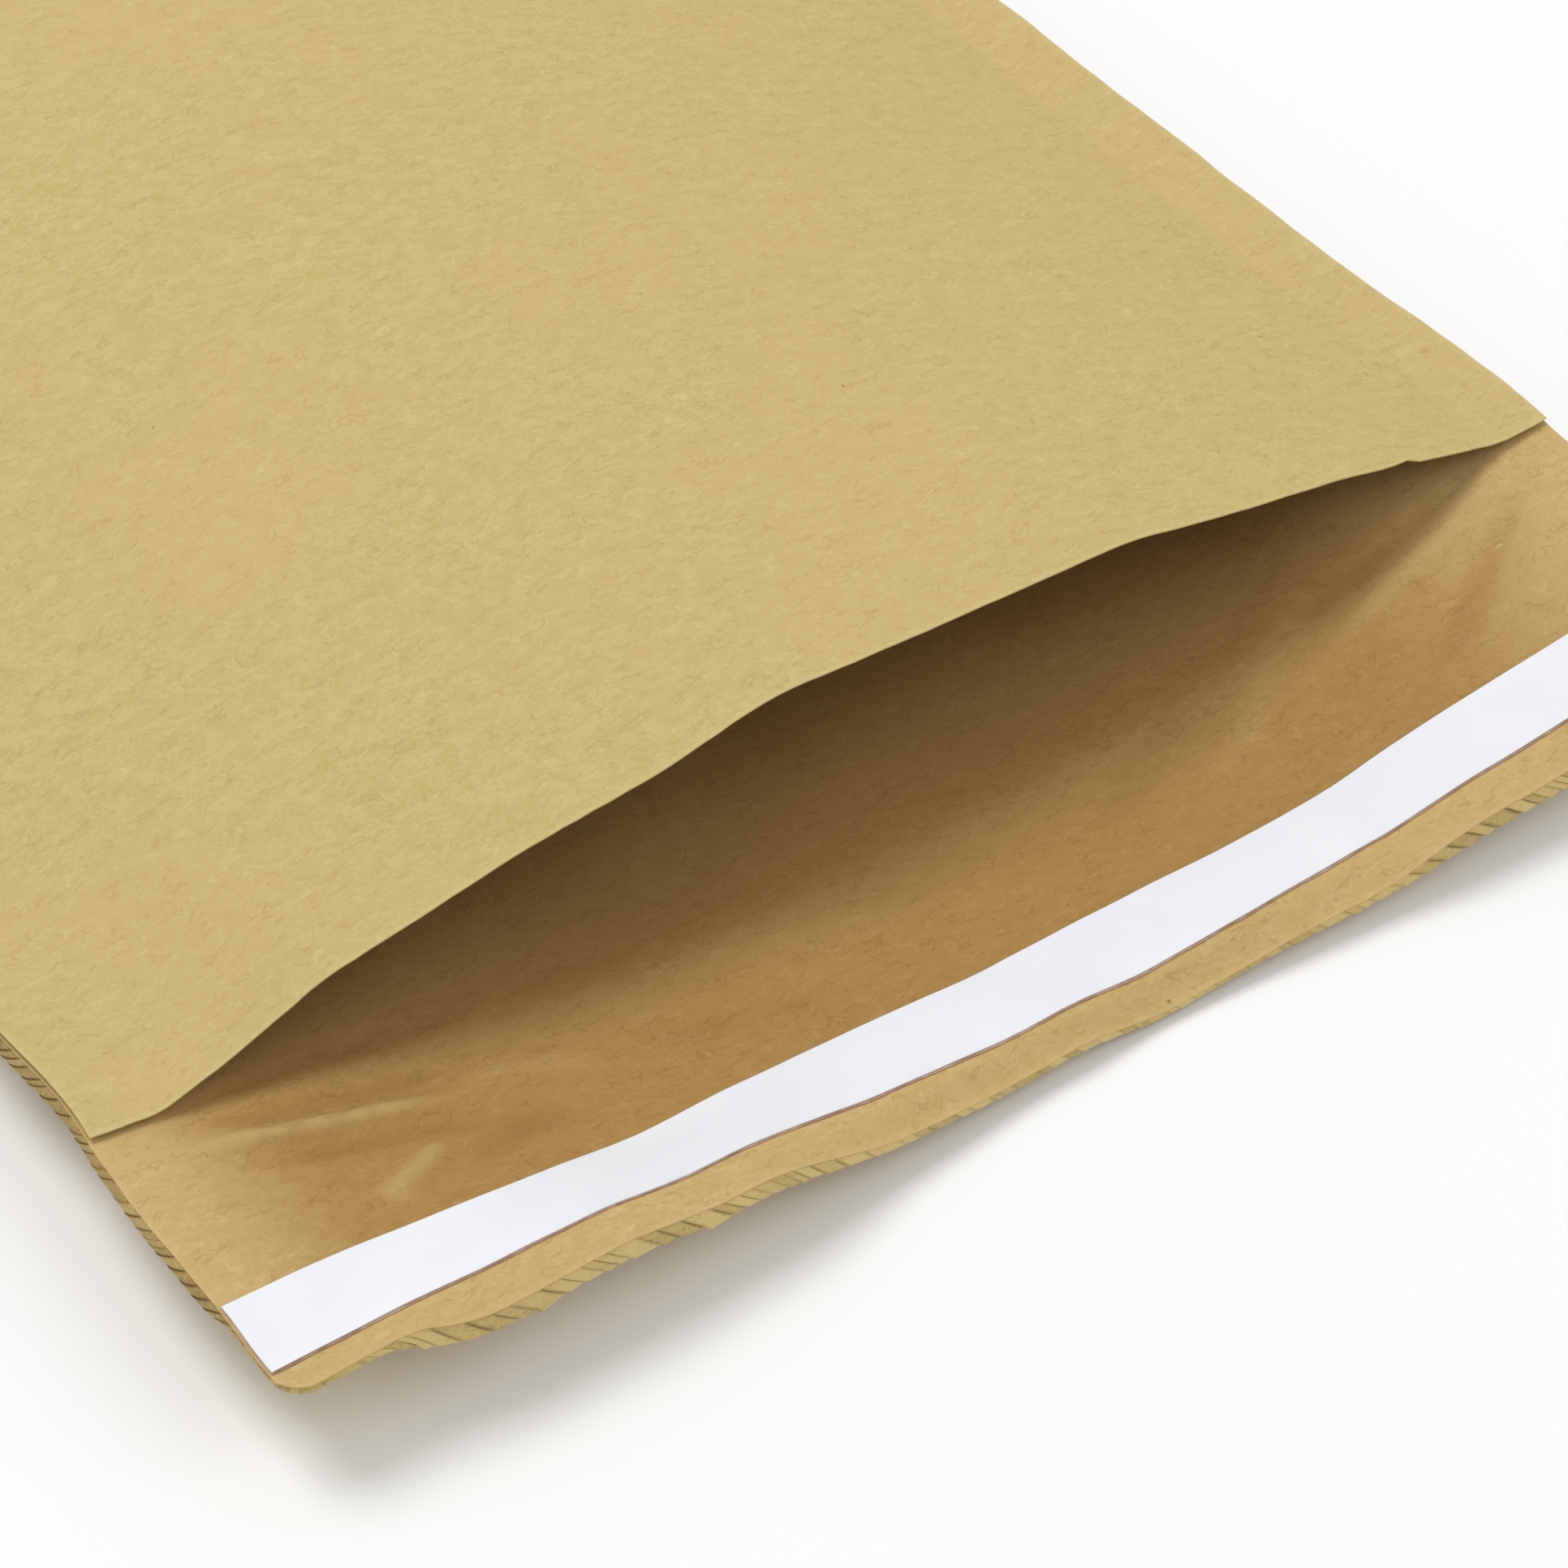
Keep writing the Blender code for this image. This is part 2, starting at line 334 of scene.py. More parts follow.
def outer_lift(padding):
    return PLY + GAP + padding + GAP + PLY / 2


def web(lift, front_start, x_step, y_step, back_inset=0.0, front_inset=0.0, end_inset=0.0,
        fine_x=(), dented=0.0):
    """Points of a ply's middle surface, from its mouth edge round the fold to the flap.

    dented is the ply's share of the inner liner's dents. Also gives the padding's
    thickness and the distance to the nearest cut edge.
    """
    xs = spread(-HALF, HALF, x_step, ((-HALF, 0.006), (HALF, 0.006), (-SEAM_IN, 0.004),
                                      (SEAM_IN, 0.004)) + fine_x)
    fronts = spread(front_start, FOLD_DEPTH, y_step, ((front_start, 0.008),))
    backs = spread(-FLAP, FOLD_DEPTH, y_step, ((-FLAP, 0.010), (STRIP_FAR, 0.003),
                                               (-0.012, 0.014)), 0.0010)[::-1]
    x, y = np.meshgrid(xs, fronts)
    padding = front_padding(x, y)
    upper = front_top(x, y) - STACK - padding + lift(padding)
    frayed = 0.10 * MM * ripple(x, np.zeros_like(x), 0.0016, 4.4) * (1.0 - smooth(y, 0.0, 0.002))
    tucked = -1.4 * MM * (1.0 - smooth(x, -0.104, -0.088)) * (1.0 - smooth(y, 0.0, 0.012))
    front = np.stack([out_to_edge(x, y, front_inset), MOUTH + y + frayed + tucked, upper], -1)
    front_pad = padding
    x, y = np.meshgrid(xs, backs)
    padding = back_padding(x, y)
    lower = back_face(x, y) - lift(padding) - (1.0 - dented) * back_relief(x, y)
    back = np.stack([out_to_edge(x, y, back_inset), MOUTH + flap_corner(x, y, end_inset),
                     lower], -1)
    top_face = front_top(xs, np.full_like(xs, FOLD_DEPTH)) - STACK - front_pad[-1]
    low_face = back_face(xs, np.full_like(xs, FOLD_DEPTH))
    turn = []
    turn_pad = []
    for step in range(1, FOLD_STEPS):
        share = step / FOLD_STEPS
        thick = front_pad[-1] * (1.0 - share) + padding[0] * share
        radius = (top_face - low_face) / 2 + lift(thick)
        angle = pi / 2 - pi * share
        edge_x = front[-1, :, 0] * (1.0 - share) + back[0, :, 0] * share
        height = (top_face + low_face) / 2 + radius * sin(angle)
        turn.append(np.stack([edge_x, MOUTH + FOLD_DEPTH + radius * cos(angle), height], -1))
        turn_pad.append(thick)
    points = np.concatenate([front, np.array(turn), back])
    pads = np.concatenate([front_pad, np.array(turn_pad), padding])
    side = HALF - np.abs(np.broadcast_to(xs, pads.shape))
    along = np.full(pads.shape, 1.0)
    along[:len(fronts)] = (fronts - front_start)[:, None]
    along[-len(backs):] = (backs + FLAP)[:, None]
    return points, pads, np.minimum(side, along)


def build_outer_sheet(material):
    points, _, edge = web(outer_lift, 0.0, 0.0022, 0.0024, back_inset=0.0007, end_inset=0.0007)
    piece, order = grid_piece("outer_kraft_sheet", points)
    mark(piece, "cut_edge", 1.0 - smooth(edge, 0.0001, 0.0009), order)
    thicken(piece, PLY)
    face_outwards(piece)
    finish_piece(piece, material)
    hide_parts("outer_sheet")


def build_inner_liner(material):
    points, _, edge = web(liner_lift, 0.0012, 0.0024, 0.0046, back_inset=-0.0001,
                          front_inset=0.0006, fine_x=((-0.081, 0.020), (0.084, 0.020)),
                          dented=1.0)
    piece, order = grid_piece("inner_kraft_liner", points)
    mark(piece, "cut_edge", 1.0 - smooth(edge, 0.0001, 0.0009), order)
    depth = points[:, :, 1] - MOUTH
    from_side = np.where(points[:, :, 0] < 0, 2.0, 1.0) * (HALF - np.abs(points[:, :, 0]))
    # Painted shade: the liner darkens from the seams towards the middle of the width, and from the
    # strip into the pocket, standing in for the front panel's shade over it.
    painted_pocket_shade = smooth(from_side, 0.003, 0.045)
    mark(piece, "painted_pocket_shade", painted_pocket_shade * smooth(depth, STRIP_FAR, STRIP_NEAR), order)
    pressed = creases(points[:, :, 0], depth) / MM
    mark(piece, "crease", np.where(points[:, :, 1] < MOUTH + 0.010, pressed, 0.0), order)
    thicken(piece, PLY)
    face_outwards(piece)
    finish_piece(piece, material)
    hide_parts("inner_liner")


def build_padding(material):
    """The padding's body, just inside its cut edge."""
    points, pads, _ = web(padding_lift, LIP_BARE, 0.005, 0.005, back_inset=0.0016,
                          front_inset=0.0012, end_inset=0.0016, dented=0.5)
    piece, order = grid_piece("slit_paper_padding", points)
    mark(piece, "slit", np.zeros(len(order)), order)
    mark(piece, "strip_tone_and_side_shade", np.full(len(order), 0.5), order)
    thicken(piece, PAD, PADDING_BODY * pads / PAD, order)
    face_outwards(piece)
    finish_piece(piece, material)
    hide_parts("padding_sheet")


# ---- cut edge of the padding --------------------------------------------------------
def edge_route():
    """The back panel's outline: down the left side, along the flap's end, up the right.

    Gives where each point is, the unbent place whose heights it takes, and the number
    of the point in the first corner.
    """
    step = 0.0005
    unbent = np.arange(-FLAP, FOLD_DEPTH, step)
    turn = np.linspace(0.0, pi / 2, 14)
    arc_x = HALF - CORNER + CORNER * np.cos(turn)
    end = np.arange(-HALF + CORNER, HALF - CORNER, step)[1:]
    sides = []
    for edge in (-HALF, HALF):
        bent = flap_corner(np.full_like(unbent, edge), unbent)
        places = np.arange(FOLD_DEPTH - step, bent[0], -step)
        sides.append((np.full_like(places, edge), np.interp(places, bent, unbent)))
    across = np.concatenate([-arc_x, end, arc_x[::-1]])
    x = np.concatenate([sides[0][0], across, sides[1][0][::-1]])
    y = np.concatenate([sides[0][1], np.full_like(across, -FLAP), sides[1][1][::-1]])
    line = np.stack([out_to_edge(x, y), MOUTH + flap_corner(x, y)], -1)
    return line, x, y, len(sides[0][0]) + len(turn) // 2


def evened(values, reach):
    """A running mean that keeps the ends."""
    padded = np.concatenate([np.full(reach, values[0]), values, np.full(reach, values[-1])])
    return np.convolve(padded, np.ones(2 * reach + 1) / (2 * reach + 1), mode="valid")


def build_cut_edge(material):
    """The padding's raw edge: ends of slit strips, leaning and overlapping like shingles."""
    chance = random.Random(41)
    line, x, y, corner_point = edge_route()
    travel = np.concatenate([[0.0], np.cumsum(np.hypot(*np.diff(line, axis=0).T))])
    ahead = np.stack([evened(np.gradient(line[:, axis]), 4) for axis in (0, 1)], -1)
    ahead = ahead / np.linalg.norm(ahead, axis=1, keepdims=True)
    top = evened(back_face(x, y) - PLY - GAP, 4)
    bottom = evened(back_bottom(x, y), 4)
    first_corner = travel[corner_point]
    # Eight columns of points to a strip, from its proud edge to its sunken one.
    shares = (0.0, 0.03, 0.16, 0.36, 0.58, 0.78, 0.92, 0.99)
    columns = []
    start = 0.006
    while start < travel[-1] - 0.008:
        width = chance.choice((1.3, 1.7, 2.1, 2.6, 3.2, 4.0)) * MM
        proud = chance.uniform(0.10, 0.36) * MM
        tone = chance.random()
        tip = 0.6 * MM if chance.random() > 0.96 else chance.random() ** 3 * 0.25 * MM
        gape = 1.0 if chance.random() > 0.22 else 0.25
        for share in shares:
            columns.append((start + share * width, share, proud, tone, tip, gape))
        start += width
    place, share, proud, tone, tip, gape = np.array(columns).T
    on_end = smooth(place, first_corner - 0.012, first_corner + 0.012)
    lean = -1.43 + 2.62 * on_end
    calm = 1.0 - np.exp(-((place - first_corner) / 0.008) ** 2)
    proud = proud * (0.45 + 0.55 * on_end) * calm
    tip = tip * (0.25 + 0.75 * on_end) * calm
    # Each strip's tone is random, and strips down the left side get the darker tones: painted
    # shade for the left wall's dimmer light.
    tone = tone * 0.45 + 0.40 * on_end
    wall_here = np.interp(place, travel, top - bottom)
    size = np.clip(wall_here / (PAD * 0.9), 0.15, 1.0)
    # Painted shade in the slits: dark on both sides of the step between one strip and the next,
    # less where a slit gapes little or the wall is low, and fading towards the top and bottom
    # plies.
    slit = (smooth(share, 0.85, 0.965) + 0.8 * (1.0 - smooth(share, 0.0, 0.06))) * gape * size
    rows, slits, tones = [], [], []
    for level in (0.0, 0.07, 0.28, 0.52, 0.76, 0.93, 1.0):
        at = place - lean * wall_here * level
        low = np.interp(at, travel, bottom)
        height = low + (np.interp(at, travel, top) - low) * level
        out_x = np.interp(at, travel, ahead[:, 1])
        out_y = -np.interp(at, travel, ahead[:, 0])
        out = proud * (0.40 - share) + (0.55 - 0.40 * on_end) * MM * sin(pi * level)
        out = out + tip * (1.0 - share) * (1.0 - smooth(level, 0.0, 0.25))
        out = out * size - 0.12 * MM - (0.12 * MM if level in (0.0, 1.0) else 0.0)
        rows.append(np.stack([np.interp(at, travel, line[:, 0]) + out_x * out,
                              np.interp(at, travel, line[:, 1]) + out_y * out, height], -1))
        open_part = smooth(level, 0.0, 0.2) * (1.0 - smooth(level, 0.80, 1.0))
        slits.append(slit * (0.30 + 0.70 * open_part))
        tones.append(tone)
    for level in (1.0, 0.0):                   # the back of the edge, inside the padding
        at = place - lean * wall_here * level
        low = np.interp(at, travel, bottom + PLY + GAP)
        height = low + (np.interp(at, travel, top) - low) * level
        in_x = -np.interp(at, travel, ahead[:, 1]) * EDGE_DEPTH
        in_y = np.interp(at, travel, ahead[:, 0]) * EDGE_DEPTH
        rows.append(np.stack([np.interp(at, travel, line[:, 0]) + in_x,
                              np.interp(at, travel, line[:, 1]) + in_y, height], -1))
        slits.append(np.zeros(len(place)))
        tones.append(tone)
    rows.append(rows[0])
    slits.append(slits[0])
    tones.append(tones[0])
    piece, order = grid_piece("padding_cut_edge", np.array(rows))
    mark(piece, "slit", np.array(slits), order)
    mark(piece, "strip_tone_and_side_shade", np.array(tones), order)
    select_only(piece)
    bpy.ops.object.mode_set(mode="EDIT")
    bpy.ops.mesh.select_all(action="SELECT")
    bpy.ops.mesh.remove_doubles(threshold=0.000001)
    bpy.ops.mesh.select_all(action="DESELECT")
    bpy.ops.mesh.select_non_manifold(extend=False)
    bpy.ops.mesh.fill_holes(sides=0)
    bpy.ops.mesh.select_all(action="SELECT")
    bpy.ops.mesh.normals_make_consistent(inside=False)
    bpy.ops.object.mode_set(mode="OBJECT")
    finish_piece(piece, material, angle=28)
    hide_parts("padding_sheet")


# ---- seams and closure --------------------------------------------------------------
def strip_points(xs, ys, lift):
    x, y = np.meshgrid(xs, ys)
    return x, y, back_face(x, y) + lift


def build_seam_glue(name, node, side, material):
    xs = np.linspace(SEAM_IN, SEAM_OUT, 5) * side
    ys = spread(0.004, GLUE_HIGH.y - MOUTH, 0.006)
    x, y, z = strip_points(np.sort(xs), ys, GAP + GLUE / 2)
    x = x + 0.5 * MM * ripple(x, y, 0.012, 7.7)
    piece, _ = grid_piece(name, np.stack([x, MOUTH + y, z], -1))
    thicken(piece, GLUE)
    face_outwards(piece)
    finish_piece(piece, material)
    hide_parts(node)


def build_adhesive(material):
    """Self-seal adhesive; a hair's breadth of it shows past the liner's outer edge, where its
    mauve-brown also stands in for the shadow line along the strip's edge: painted shade.
    """
    xs = spread(-HALF + 0.0001, HALF - 0.0003, 0.0018)
    ys = np.linspace(STRIP_FAR - 0.00020, STRIP_NEAR + 0.00010, 9)
    x, y, z = strip_points(xs, ys, GAP + TAPE / 2)
    ragged = 0.14 * MM * ripple(x, np.zeros_like(x), 0.004, 1.2) * (y < STRIP_FAR)
    piece, _ = grid_piece("self_seal_adhesive",
                          np.stack([out_to_edge(x, y), MOUTH + y + ragged, z], -1))
    thicken(piece, TAPE)
    face_outwards(piece)
    finish_piece(piece, material)
    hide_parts("closure_adhesive")


def build_release_liner(material):
    xs = spread(-HALF + 0.0002, HALF - 0.0002, 0.0014)
    ys = np.linspace(STRIP_FAR, STRIP_NEAR, 15)
    x, y, z = strip_points(xs, ys, 2 * GAP + 1.5 * TAPE)
    rim = 1.0 - smooth(np.minimum(y - STRIP_FAR, STRIP_NEAR - y), 0.0, 0.0012)
    z = z + 0.04 * MM * rim * (1.0 + ripple(x, y, 0.030, 4.0))
    piece, _ = grid_piece("white_release_liner", np.stack([out_to_edge(x, y), MOUTH + y, z], -1))
    thicken(piece, TAPE)
    face_outwards(piece)
    finish_piece(piece, material)
    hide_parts("release_liner")


# ---- materials ----------------------------------------------------------------------
def linear(red, green, blue):
    """A colour given as it looks on a screen, 0 to 255, as linear light."""
    values = [channel / 255 for channel in (red, green, blue)]
    return tuple(v / 12.92 if v <= 0.04045 else ((v + 0.055) / 1.055) ** 2.4
                 for v in values) + (1.0,)


class Nodes:
    """Short calls for placing and joining nodes in one tree."""

    def __init__(self, tree):
        self.tree = tree

    def add(self, kind, inputs=(), **settings):
        node = self.tree.nodes.new(kind)
        for key, value in settings.items():
            setattr(node, key, value)
        for key, value in dict(inputs).items():
            self.feed(node.inputs[key], value)
        return node

    def feed(self, socket, value):
        if isinstance(value, bpy.types.NodeSocket):
            self.tree.links.new(value, socket)
        else:
            socket.default_value = value

    def math(self, operation, a, b=0.0, clamp=False):
        node = self.add("ShaderNodeMath", {0: a, 1: b}, operation=operation, use_clamp=clamp)
        return node.outputs[0]

    def mix(self, share, a, b, blend="MIX"):
        node = self.add("ShaderNodeMix", {0: share, 6: a, 7: b}, data_type="RGBA",
                        blend_type=blend)
        return node.outputs[2]

    def band(self, value, low, high):
        """0 below low and 1 above high."""
        node = self.add("ShaderNodeMapRange", {0: value, 1: low, 2: high},
                        interpolation_type="SMOOTHSTEP")
        return node.outputs[0]

    def noise(self, vector, scale, detail=2.0, rough=0.5):
        node = self.add("ShaderNodeTexNoise", {"Vector": vector, "Scale": scale,
                                               "Detail": detail, "Roughness": rough})
        return node.outputs["Fac"]


def paper_fibres_group():
    """Cloudy mottling, short fibres and specks of pulp paper."""
    group = bpy.data.node_groups.new("paper_fibres", "ShaderNodeTree")
    face = group.interface
    face.new_socket("Vector", in_out="INPUT", socket_type="NodeSocketVector")
    face.new_socket("Fineness", in_out="INPUT", socket_type="NodeSocketFloat")
    for name in ("Clouds", "Blotches", "Mottle", "Fibres", "Pale fibres", "Specks", "Height"):
        face.new_socket(name, in_out="OUTPUT", socket_type="NodeSocketFloat")
    n = Nodes(group)
    entry = n.add("NodeGroupInput")
    leave = n.add("NodeGroupOutput")
    size = n.add("ShaderNodeVectorMath", {0: entry.outputs["Vector"]}, operation="SCALE")
    n.feed(size.inputs["Scale"], entry.outputs["Fineness"])
    vector = size.outputs[0]
    laid = n.add("ShaderNodeMapping", {"Vector": vector, "Scale": (0.70, 1.0, 1.0),
                                       "Rotation": (0.0, 0.0, 0.55)}).outputs[0]
    clouds = n.noise(vector, 28.0, 3.0, 0.55)
    blotches = n.noise(laid, 500.0, 3.0, 0.55)
    mottle = n.noise(laid, 1700.0, 4.0, 0.66)
    warp = n.add("ShaderNodeTexNoise", {"Vector": vector, "Scale": 300.0, "Detail": 2.0})
    bend = n.add("ShaderNodeVectorMath", {0: warp.outputs["Color"], 1: (0.5, 0.5, 0.5)},
                 operation="SUBTRACT").outputs[0]
    bend = n.add("ShaderNodeVectorMath", {0: bend}, operation="SCALE")
    bend.inputs["Scale"].default_value = 0.0035
    bent = n.add("ShaderNodeVectorMath", {0: vector, 1: bend.outputs[0]},
                 operation="ADD").outputs[0]
    hairs = []
    for turn, scale in ((0.2, 560.0), (1.3, 700.0), (2.3, 680.0), (0.8, 590.0)):
        turned = n.add("ShaderNodeMapping", {"Vector": bent, "Rotation": (0.0, 0.0, turn),
                                             "Scale": (0.28, 1.0, 1.0)}).outputs[0]
        cells = n.add("ShaderNodeTexVoronoi", {"Vector": turned, "Scale": scale},
                      feature="DISTANCE_TO_EDGE").outputs["Distance"]
        line = n.math("SUBTRACT", 1.0, n.band(cells, 0.0, 0.060))
        gate = n.band(n.noise(turned, scale * 0.9, 1.0), 0.57, 0.63)
        hairs.append(n.math("MULTIPLY", line, gate))
    total = n.math("MAXIMUM", hairs[0], hairs[1])
    pale = n.math("MAXIMUM", hairs[2], hairs[3])
    spots = n.add("ShaderNodeTexVoronoi", {"Vector": bent, "Scale": 170.0, "Randomness": 1.0})
    near = n.math("SUBTRACT", 1.0, n.band(spots.outputs["Distance"], 0.02, 0.06))
    rare = n.add("ShaderNodeSeparateColor", {0: spots.outputs["Color"]}).outputs[0]
    specks = n.math("MULTIPLY", near, n.band(rare, 0.93, 0.95))
    height = n.math("ADD", n.math("MULTIPLY", mottle, 0.6), n.math("MULTIPLY", total, 0.20))
    for name, value in (("Clouds", clouds), ("Blotches", blotches), ("Mottle", mottle),
                        ("Fibres", total), ("Pale fibres", pale), ("Specks", specks),
                        ("Height", height)):
        n.feed(leave.inputs[name], value)
    return group


def new_material(name):
    material = bpy.data.materials.new(name)
    material.use_nodes = True
    shader = material.node_tree.nodes["Principled BSDF"]
    shader.inputs["Specular IOR Level"].default_value = 0.25
    return material, Nodes(material.node_tree), shader


def paper(group, n, fineness):
    place = n.add("ShaderNodeTexCoord").outputs["Object"]
    node = n.add("ShaderNodeGroup")
    node.node_tree = group
    n.feed(node.inputs["Vector"], place)
    node.inputs["Fineness"].default_value = fineness
    return node, place


def attribute(n, name):
    return n.add("ShaderNodeAttribute", attribute_name=name).outputs["Fac"]


def kraft_material(name, group, tones, fibre, speck, rough, relief, painted_pocket_shade=None):
    """Kraft paper from a dark, a middle, a light and a ruddy tone, with painted shade where
    marked.
    """
    material, n, shader = new_material(name)
    fibres, _ = paper(group, n, 1.0)
    color = n.mix(n.band(fibres.outputs["Mottle"], 0.36, 0.64), tones[0], tones[2])
    color = n.mix(0.60, color, tones[1])
    blotches = n.mix(n.band(fibres.outputs["Blotches"], 0.36, 0.64), tones[0], tones[2])
    color = n.mix(0.24, color, blotches)
    clouds = n.band(fibres.outputs["Clouds"], 0.34, 0.66)
    color = n.mix(n.math("MULTIPLY", clouds, 0.42), color, tones[3])
    color = n.mix(n.math("MULTIPLY", fibres.outputs["Pale fibres"], 0.20), color,
                  linear(232, 214, 164))
    color = n.mix(n.math("MULTIPLY", fibres.outputs["Fibres"], 0.30), color, fibre)
    color = n.mix(n.math("MULTIPLY", fibres.outputs["Specks"], 0.62), color, speck)
    if painted_pocket_shade:
        # Painted shade of the pocket, multiplied in where the liner is marked.
        color = n.mix(attribute(n, "painted_pocket_shade"), color, painted_pocket_shade, blend="MULTIPLY")
        # Creases: ridges are painted lighter, partly as the whitened fold lines of creased kraft
        # and partly as painted highlight; hollows get painted shade.
        folded = attribute(n, "crease")
        color = n.mix(n.math("MULTIPLY", n.band(folded, 0.25, 1.3), 0.35), color, tones[2])
        hollow = n.band(n.math("MULTIPLY", folded, -1.0), 0.15, 1.0)
        color = n.mix(n.math("MULTIPLY", hollow, 0.30), color, tones[0], blend="MULTIPLY")
    # Lighter within about a millimetre of each cut edge.
    edge_lightening = n.math("MULTIPLY", attribute(n, "cut_edge"), 0.45)
    color = n.mix(edge_lightening, color, tones[2])
    n.feed(shader.inputs["Base Color"], color)
    shine = n.math("ADD", rough, n.math("MULTIPLY", fibres.outputs["Mottle"], 0.10))
    n.feed(shader.inputs["Roughness"], shine)
    bump = n.add("ShaderNodeBump", {"Strength": relief, "Distance": 0.0002,
                                    "Height": fibres.outputs["Height"]})
    n.feed(shader.inputs["Normal"], bump.outputs[0])
    return material


def padding_material(group):
    """Raw greenish-brown slit paper, with painted shade in the slits between its strips."""
    material, n, shader = new_material("padding_paper")
    fibres, _ = paper(group, n, 1.6)
    light, dark = linear(222, 195, 132), linear(162, 132, 78)
    # A strip's tone runs from dark to light; the dark end, which the left side's strips take, is
    # partly painted shade.
    color = n.mix(n.band(attribute(n, "strip_tone_and_side_shade"), 0.0, 1.0), dark, light)
    color = n.mix(n.math("MULTIPLY", n.band(fibres.outputs["Mottle"], 0.35, 0.65), 0.45),
                  color, linear(216, 194, 134))
    color = n.mix(n.math("MULTIPLY", fibres.outputs["Fibres"], 0.35), color, linear(128, 104, 60))
    # Painted shade in the slits, as marked on the cut edge.
    color = n.mix(n.math("MULTIPLY", attribute(n, "slit"), 0.92), color, linear(88, 62, 28))
    n.feed(shader.inputs["Base Color"], color)
    shader.inputs["Roughness"].default_value = 0.92
    bump = n.add("ShaderNodeBump", {"Strength": 0.5, "Distance": 0.0003,
                                    "Height": fibres.outputs["Height"]})
    n.feed(shader.inputs["Normal"], bump.outputs[0])
    return material


def release_material(group):
    """Smooth white silicone-coated paper."""
    material, n, shader = new_material("release_paper")
    fibres, place = paper(group, n, 1.3)
    soft = n.band(n.noise(place, 60.0, 2.0), 0.35, 0.65)
    color = n.mix(soft, linear(238, 240, 243), linear(243, 244, 247))
    color = n.mix(n.math("MULTIPLY", fibres.outputs["Mottle"], 0.08), color, linear(226, 226, 232))
    n.feed(shader.inputs["Base Color"], color)
    shine = n.math("ADD", 0.38, n.math("MULTIPLY", fibres.outputs["Mottle"], 0.12))
    n.feed(shader.inputs["Roughness"], shine)
    bump = n.add("ShaderNodeBump", {"Strength": 0.08, "Distance": 0.0002,
                                    "Height": fibres.outputs["Height"]})
    n.feed(shader.inputs["Normal"], bump.outputs[0])
    return material


def film_material(name, dark, light, rough):
    """Dried adhesive, uneven in colour and shine."""
    material, n, shader = new_material(name)
    place = n.add("ShaderNodeTexCoord").outputs["Object"]
    patches = n.noise(place, 400.0, 3.0)
    n.feed(shader.inputs["Base Color"], n.mix(n.band(patches, 0.35, 0.65), dark, light))
    n.feed(shader.inputs["Roughness"], n.math("ADD", rough, n.math("MULTIPLY", patches, 0.2)))
    bump = n.add("ShaderNodeBump", {"Strength": 0.3, "Distance": 0.0001, "Height": patches})
    n.feed(shader.inputs["Normal"], bump.outputs[0])
    return material


# ---- stage --------------------------------------------------------------------------
def build_stage():
    """A near-white table that reaches far past the view."""
    bpy.ops.object.select_all(action="DESELECT")
    bpy.ops.mesh.primitive_plane_add(size=6.0, location=(0.0, 0.0, -0.0002))
    floor = bpy.context.object
    floor.name = "table"
    material, n, shader = new_material("pale_table")
    place = n.add("ShaderNodeTexCoord").outputs["Object"]
    shade = n.noise(place, 3.0, 2.0)
    n.feed(shader.inputs["Base Color"], n.mix(shade, (0.95, 0.95, 0.95, 1), (0.98, 0.98, 0.98, 1)))
    shader.inputs["Roughness"].default_value = 0.9
    floor.data.materials.append(material)


def aim(thing, target):
    thing.rotation_euler = (Vector(target) - thing.location).to_track_quat("-Z", "Y").to_euler()


def build_light(name, place, size, power, target, color=(1.0, 1.0, 1.0)):
    lamp = bpy.data.lights.new(name, "AREA")
    lamp.shape = "DISK"
    lamp.size = size
    lamp.energy = power
    lamp.color = color
    light = bpy.data.objects.new(name, lamp)
    bpy.context.collection.objects.link(light)
    light.location = place
    aim(light, target)


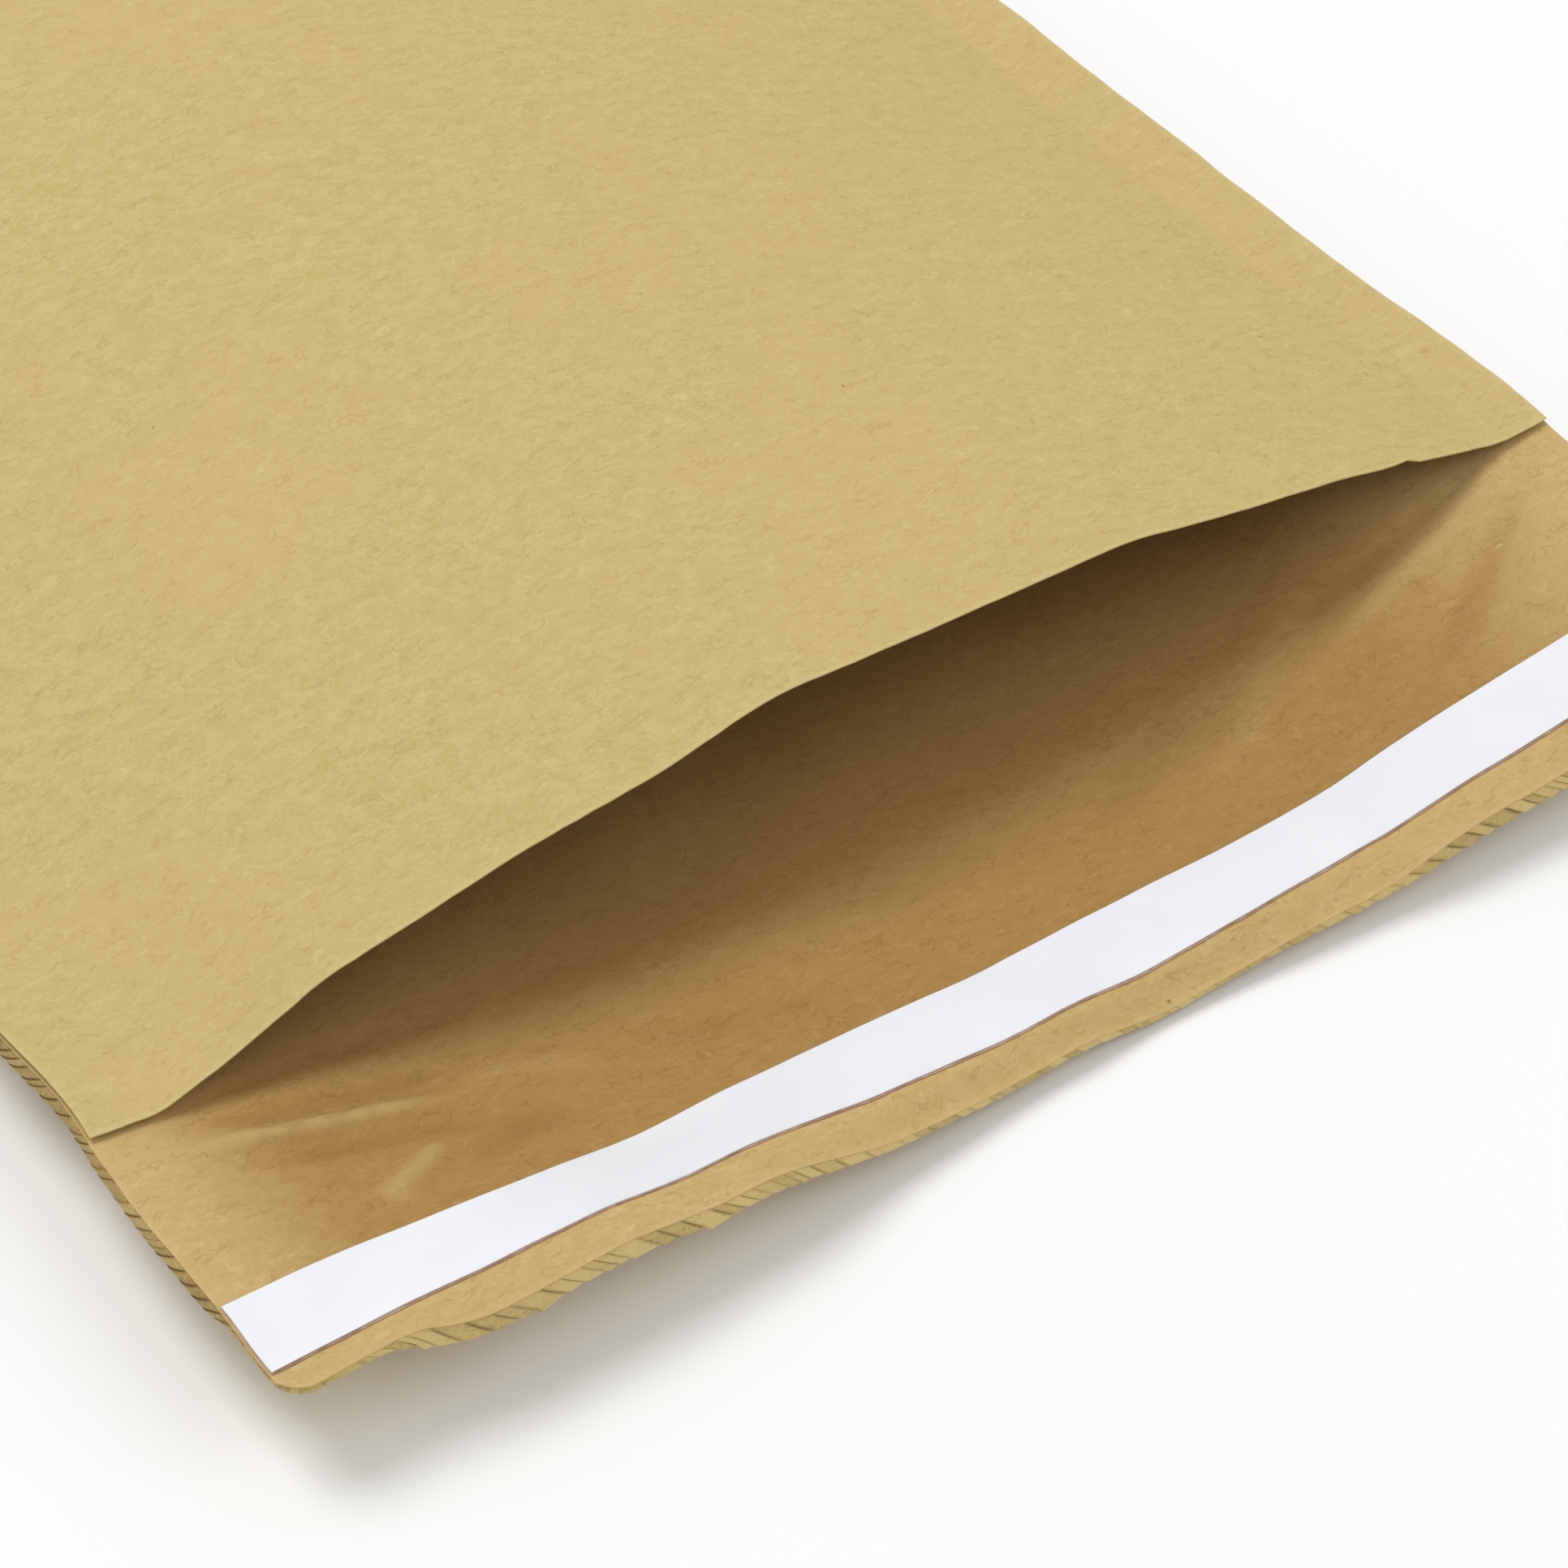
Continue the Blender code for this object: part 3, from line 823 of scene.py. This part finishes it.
def build_lights():
    world = bpy.data.worlds.new("studio")
    bpy.context.scene.world = world
    world.use_nodes = True
    world.node_tree.nodes["Background"].inputs["Color"].default_value = (1.0, 1.0, 1.0, 1.0)
    world.node_tree.nodes["Background"].inputs["Strength"].default_value = 0.56
    middle = (0.0, MOUTH, 0.01)
    build_light("key", (-0.40, MOUTH + 0.76, 1.60), 1.00, 14.6, middle)
    build_light("fill", (0.75, MOUTH - 0.85, 1.10), 1.20, 4.2, middle)


def build_camera():
    """Looks down on the mouth from the front left, with a long lens."""
    turn, tilt, distance = radians(-35.115), radians(43.76), 0.5890
    target = Vector((-0.0045, MOUTH + 0.0113, 0.0020))
    back = Vector((sin(turn) * cos(tilt), -cos(turn) * cos(tilt), sin(tilt)))
    lens = bpy.data.cameras.new("camera")
    lens.lens = 108.07
    lens.sensor_width = 36.0
    lens.clip_start = 0.01
    camera = bpy.data.objects.new("camera", lens)
    bpy.context.collection.objects.link(camera)
    camera.location = target + back * distance
    aim(camera, target)
    bpy.context.scene.camera = camera


def main():
    build_camera()
    build_lights()
    build_stage()
    group = paper_fibres_group()
    outer = kraft_material("outer_kraft", group,
                           (linear(190, 167, 105), linear(201, 179, 117), linear(212, 193, 136),
                            linear(205, 178, 124)),
                           linear(166, 138, 78), linear(120, 92, 44), 0.78, 0.35)
    # The inner liner's last colour is the tint of its painted pocket shade.
    inner = kraft_material("inner_kraft", group,
                           (linear(190, 158, 100), linear(200, 170, 113), linear(210, 183, 128),
                            linear(203, 168, 112)),
                           linear(146, 112, 60), linear(104, 76, 36), 0.78, 0.35,
                           painted_pocket_shade=(0.70, 0.59, 0.45, 1.0))
    padding = padding_material(group)
    build_outer_sheet(outer)
    build_inner_liner(inner)
    build_padding(padding)
    build_cut_edge(padding)
    glue = film_material("seam_glue", linear(196, 182, 146), linear(214, 204, 172), 0.40)
    build_seam_glue("seam_glue_line_left", "seam_glue_left", -1, glue)
    build_seam_glue("seam_glue_line_right", "seam_glue_right", 1, glue)
    # The adhesive's mauve-brown is partly its own colour and partly painted shade for the thin
    # dark line along the release liner's edge.
    adhesive = film_material("closure_adhesive", linear(180, 143, 128), linear(208, 178, 162), 0.5)
    build_adhesive(adhesive)
    build_release_liner(release_material(group))
    bpy.context.scene.view_settings.view_transform = "Standard"


main()
bpy.context.view_layer.update()
